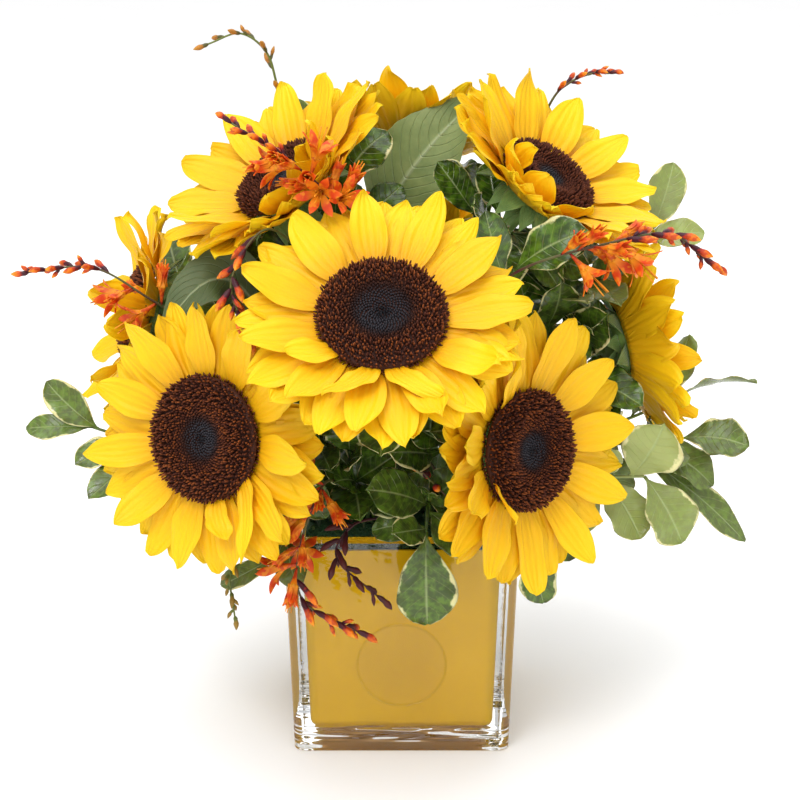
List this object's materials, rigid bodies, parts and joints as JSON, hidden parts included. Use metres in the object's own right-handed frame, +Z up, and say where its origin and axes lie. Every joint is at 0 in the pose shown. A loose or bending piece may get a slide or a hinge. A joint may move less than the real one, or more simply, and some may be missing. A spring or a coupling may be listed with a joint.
{
  "type": "sunflowers in a vase",
  "caption": "Low dome bouquet of sunflowers, crocosmia sprays and variegated foliage standing in floral foam in a square clear glass vase with a gold inner lining.",
  "frame": {"origin": "centre of the vase's flat underside, on the surface that the vase stands on", "axes": "+Z up along the vase's centre line; -Y is the front, where the seal is and the largest bloom looks; +X is to the right seen from the front"},
  "size_m": [0.388, 0.3032, 0.3667],
  "materials": {
    "clear_glass": "polished",
    "gold_lining": "satin",
    "clear_seal": "gloss",
    "wet_foam": "matte",
    "yellow_petals": "satin",
    "brown_disc": "matte",
    "green_stems": "satin",
    "variegated_leaves": "satin",
    "grey_green_leaves": "matte",
    "orange_spray": "satin"
  },
  "bodies": {
    "root": {"bloom_back_disc": "brown_disc", "bloom_back_green": "green_stems", "bloom_back_petals": "yellow_petals", "bloom_far_left_disc": "brown_disc", "bloom_far_left_green": "green_stems", "bloom_far_left_petals": "yellow_petals", "bloom_far_right_disc": "brown_disc", "bloom_far_right_green": "green_stems", "bloom_far_right_petals": "yellow_petals", "bloom_front_disc": "brown_disc", "bloom_front_green": "green_stems", "bloom_front_petals": "yellow_petals", "bloom_left_disc": "brown_disc", "bloom_left_green": "green_stems", "bloom_left_petals": "yellow_petals", "bloom_right_disc": "brown_disc", "bloom_right_green": "green_stems", "bloom_right_petals": "yellow_petals", "bloom_top_disc": "brown_disc", "bloom_top_green": "green_stems", "bloom_top_petals": "yellow_petals", "bloom_upper_left_disc": "brown_disc", "bloom_upper_left_green": "green_stems", "bloom_upper_left_petals": "yellow_petals", "bloom_upper_right_disc": "brown_disc", "bloom_upper_right_green": "green_stems", "bloom_upper_right_petals": "yellow_petals", "foam": "wet_foam", "leaf_back_left": "grey_green_leaves", "leaf_back_right": "grey_green_leaves", "leaf_left": "grey_green_leaves", "leaf_top": "grey_green_leaves", "leafy_back": "variegated_leaves", "leafy_back_left": "variegated_leaves", "leafy_back_right": "variegated_leaves", "leafy_far_right": "variegated_leaves", "leafy_front": "variegated_leaves", "leafy_front_left": "variegated_leaves", "leafy_front_right": "variegated_leaves", "leafy_left": "variegated_leaves", "leafy_low_left": "variegated_leaves", "leafy_low_right": "variegated_leaves", "leafy_right": "variegated_leaves", "leafy_top_left": "variegated_leaves", "leafy_top_right": "variegated_leaves", "leafy_upper_right": "variegated_leaves", "liner": "gold_lining", "seal": "clear_seal", "spray_berries": "orange_spray", "spray_centre_left": "orange_spray", "spray_front_dark": "orange_spray", "spray_front_left": "orange_spray", "spray_left": "orange_spray", "spray_low_left": "orange_spray", "spray_right": "orange_spray", "spray_top_left": "orange_spray", "spray_top_right": "orange_spray", "spray_upper_left": "orange_spray", "vase": "clear_glass"}
  },
  "joints": []
}
